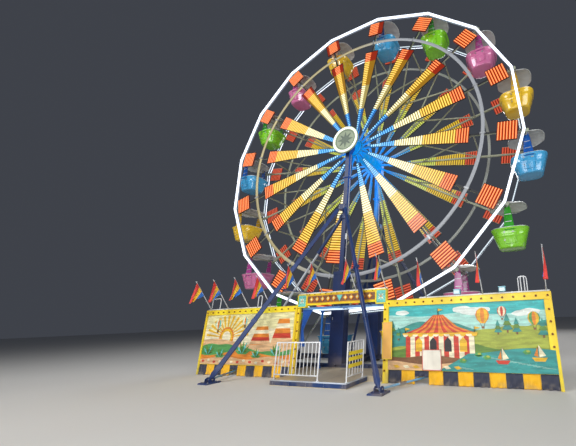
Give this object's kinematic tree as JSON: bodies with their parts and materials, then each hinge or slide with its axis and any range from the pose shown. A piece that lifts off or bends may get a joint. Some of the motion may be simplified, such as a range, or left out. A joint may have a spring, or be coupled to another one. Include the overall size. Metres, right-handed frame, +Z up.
{
  "type": "ferris wheel",
  "caption": "Travelling fairground wheel with level hanging tubs on an open lit wheel between two masts with splayed legs, behind an entrance front with picture panels, portal, deck and fences.",
  "frame": {"origin": "on the ground at the middle of the base frame, straight below the middle of the axle", "axes": "+Z up, +X to the right as seen from the entrance, -Y towards the entrance front; the axle lies along Y"},
  "size_m": [14.9454, 7.06, 15.6977],
  "materials": {
    "hub_paint": "satin",
    "wheel_paint": "satin",
    "rim_paint": "satin",
    "ring_paint": "satin",
    "tub_yellow": "gloss",
    "tub_pink": "gloss",
    "tub_green": "gloss",
    "tub_blue": "gloss",
    "base_paint": "satin",
    "mast_paint": "satin",
    "leg_paint": "satin",
    "prop_paint": "satin",
    "light_panel": "matte",
    "facade_yellow": "satin",
    "skirt_cloth": "woven",
    "deck_paint": "satin",
    "canopy_white": "satin",
    "fence_white": "satin",
    "pennant_cloth": "woven"
  },
  "bodies": {
    "base": {"base_frame": "base_paint", "front_mast": "mast_paint", "rear_mast": "mast_paint", "front_left_leg": "leg_paint", "front_right_leg": "leg_paint", "rear_left_leg": "leg_paint", "rear_right_leg": "leg_paint", "front_prop": "prop_paint", "rear_prop": "prop_paint", "hub_light": "light_panel", "left_panel": "facade_yellow", "right_panel": "facade_yellow", "left_skirt": "skirt_cloth", "right_skirt": "skirt_cloth", "entrance_portal": "facade_yellow", "boarding_deck": "deck_paint", "entrance_canopy": "canopy_white", "front_fence": "fence_white", "side_fence": "fence_white", "left_pennants": "pennant_cloth", "portal_pennants": "pennant_cloth", "right_pennants": "pennant_cloth"},
    "wheel": {"hub": "hub_paint", "spoke_frame_01": "wheel_paint", "spoke_frame_02": "wheel_paint", "spoke_frame_03": "wheel_paint", "spoke_frame_04": "wheel_paint", "spoke_frame_05": "wheel_paint", "spoke_frame_06": "wheel_paint", "spoke_frame_07": "wheel_paint", "spoke_frame_08": "wheel_paint", "spoke_frame_09": "wheel_paint", "spoke_frame_10": "wheel_paint", "spoke_frame_11": "wheel_paint", "spoke_frame_12": "wheel_paint", "spoke_frame_13": "wheel_paint", "spoke_frame_14": "wheel_paint", "spoke_frame_15": "wheel_paint", "spoke_frame_16": "wheel_paint", "front_rim": "rim_paint", "rear_rim": "rim_paint", "front_inner_ring": "ring_paint", "rear_inner_ring": "ring_paint"},
    "tub_01": {"tub_01": "tub_yellow"},
    "tub_02": {"tub_02": "tub_pink"},
    "tub_03": {"tub_03": "tub_green"},
    "tub_04": {"tub_04": "tub_blue"},
    "tub_05": {"tub_05": "tub_yellow"},
    "tub_06": {"tub_06": "tub_pink"},
    "tub_07": {"tub_07": "tub_green"},
    "tub_08": {"tub_08": "tub_blue"},
    "tub_09": {"tub_09": "tub_yellow"},
    "tub_10": {"tub_10": "tub_pink"},
    "tub_11": {"tub_11": "tub_green"},
    "tub_12": {"tub_12": "tub_blue"},
    "tub_13": {"tub_13": "tub_yellow"},
    "tub_14": {"tub_14": "tub_pink"},
    "tub_15": {"tub_15": "tub_green"},
    "tub_16": {"tub_16": "tub_blue"}
  },
  "joints": [
    {"name": "wheel_turn", "type": "hinge", "parent": "base", "child": "wheel", "pos_m": [0, 0, 8.64], "axis": [0, 1, 0], "continuous": true},
    {"name": "tub_01_swing", "type": "hinge", "parent": "wheel", "child": "tub_01", "pos_m": [6.68917, 0, 10.33262], "axis": [0, 1, 0], "continuous": true},
    {"name": "tub_02_swing", "type": "hinge", "parent": "wheel", "child": "tub_02", "pos_m": [5.53225, 0, 12.76361], "axis": [0, 1, 0], "continuous": true},
    {"name": "tub_03_swing", "type": "hinge", "parent": "wheel", "child": "tub_03", "pos_m": [3.5331, 0, 14.56682], "axis": [0, 1, 0], "continuous": true},
    {"name": "tub_04_swing", "type": "hinge", "parent": "wheel", "child": "tub_04", "pos_m": [0.99606, 0, 15.46773], "axis": [0, 1, 0], "continuous": true},
    {"name": "tub_05_swing", "type": "hinge", "parent": "wheel", "child": "tub_05", "pos_m": [-1.69262, 0, 15.32917], "axis": [0, 1, 0], "continuous": true},
    {"name": "tub_06_swing", "type": "hinge", "parent": "wheel", "child": "tub_06", "pos_m": [-4.12361, 0, 14.17225], "axis": [0, 1, 0], "continuous": true},
    {"name": "tub_07_swing", "type": "hinge", "parent": "wheel", "child": "tub_07", "pos_m": [-5.92682, 0, 12.1731], "axis": [0, 1, 0], "continuous": true},
    {"name": "tub_08_swing", "type": "hinge", "parent": "wheel", "child": "tub_08", "pos_m": [-6.82773, 0, 9.63606], "axis": [0, 1, 0], "continuous": true},
    {"name": "tub_09_swing", "type": "hinge", "parent": "wheel", "child": "tub_09", "pos_m": [-6.68917, 0, 6.94738], "axis": [0, 1, 0], "continuous": true},
    {"name": "tub_10_swing", "type": "hinge", "parent": "wheel", "child": "tub_10", "pos_m": [-5.53225, 0, 4.51639], "axis": [0, 1, 0], "continuous": true},
    {"name": "tub_11_swing", "type": "hinge", "parent": "wheel", "child": "tub_11", "pos_m": [-3.5331, 0, 2.71318], "axis": [0, 1, 0], "continuous": true},
    {"name": "tub_12_swing", "type": "hinge", "parent": "wheel", "child": "tub_12", "pos_m": [-0.99606, 0, 1.81227], "axis": [0, 1, 0], "continuous": true},
    {"name": "tub_13_swing", "type": "hinge", "parent": "wheel", "child": "tub_13", "pos_m": [1.69262, 0, 1.95083], "axis": [0, 1, 0], "continuous": true},
    {"name": "tub_14_swing", "type": "hinge", "parent": "wheel", "child": "tub_14", "pos_m": [4.12361, 0, 3.10775], "axis": [0, 1, 0], "continuous": true},
    {"name": "tub_15_swing", "type": "hinge", "parent": "wheel", "child": "tub_15", "pos_m": [5.92682, 0, 5.1069], "axis": [0, 1, 0], "continuous": true},
    {"name": "tub_16_swing", "type": "hinge", "parent": "wheel", "child": "tub_16", "pos_m": [6.82773, 0, 7.64394], "axis": [0, 1, 0], "continuous": true}
  ],
  "couplings": [
    {"joint": "tub_01_swing", "follows": "wheel_turn", "ratio": -1},
    {"joint": "tub_02_swing", "follows": "wheel_turn", "ratio": -1},
    {"joint": "tub_03_swing", "follows": "wheel_turn", "ratio": -1},
    {"joint": "tub_04_swing", "follows": "wheel_turn", "ratio": -1},
    {"joint": "tub_05_swing", "follows": "wheel_turn", "ratio": -1},
    {"joint": "tub_06_swing", "follows": "wheel_turn", "ratio": -1},
    {"joint": "tub_07_swing", "follows": "wheel_turn", "ratio": -1},
    {"joint": "tub_08_swing", "follows": "wheel_turn", "ratio": -1},
    {"joint": "tub_09_swing", "follows": "wheel_turn", "ratio": -1},
    {"joint": "tub_10_swing", "follows": "wheel_turn", "ratio": -1},
    {"joint": "tub_11_swing", "follows": "wheel_turn", "ratio": -1},
    {"joint": "tub_12_swing", "follows": "wheel_turn", "ratio": -1},
    {"joint": "tub_13_swing", "follows": "wheel_turn", "ratio": -1},
    {"joint": "tub_14_swing", "follows": "wheel_turn", "ratio": -1},
    {"joint": "tub_15_swing", "follows": "wheel_turn", "ratio": -1},
    {"joint": "tub_16_swing", "follows": "wheel_turn", "ratio": -1}
  ]
}
